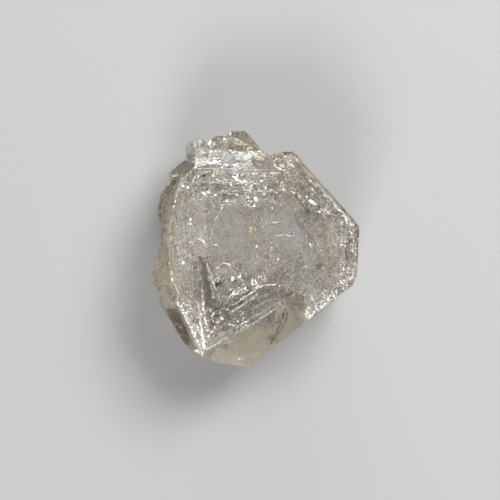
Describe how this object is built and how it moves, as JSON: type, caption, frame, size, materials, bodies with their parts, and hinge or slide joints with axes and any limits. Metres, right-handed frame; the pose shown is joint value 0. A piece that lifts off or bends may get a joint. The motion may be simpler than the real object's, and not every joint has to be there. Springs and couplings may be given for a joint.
{
  "type": "skeletal quartz crystal",
  "caption": "Loose clear quartz specimen: a stubby skeletal crystal with a broad stepped face, a sloping clear face and small points grown on its rim, lying on a flat underside.",
  "frame": {"origin": "under the middle of the outline, on the plane that the crystal rests on", "axes": "+Z out of the broad stepped face, +Y along the crystals' long axis towards the small point, +X to the right when the stepped face is seen from above with the point at the top"},
  "size_m": [0.0459, 0.0522, 0.0268],
  "materials": {
    "quartz": "natural clear quartz with healed cracks, faint growth lines and slight ochre staining"
  },
  "bodies": {
    "root": {"quartz_crystal": "quartz"}
  },
  "joints": []
}
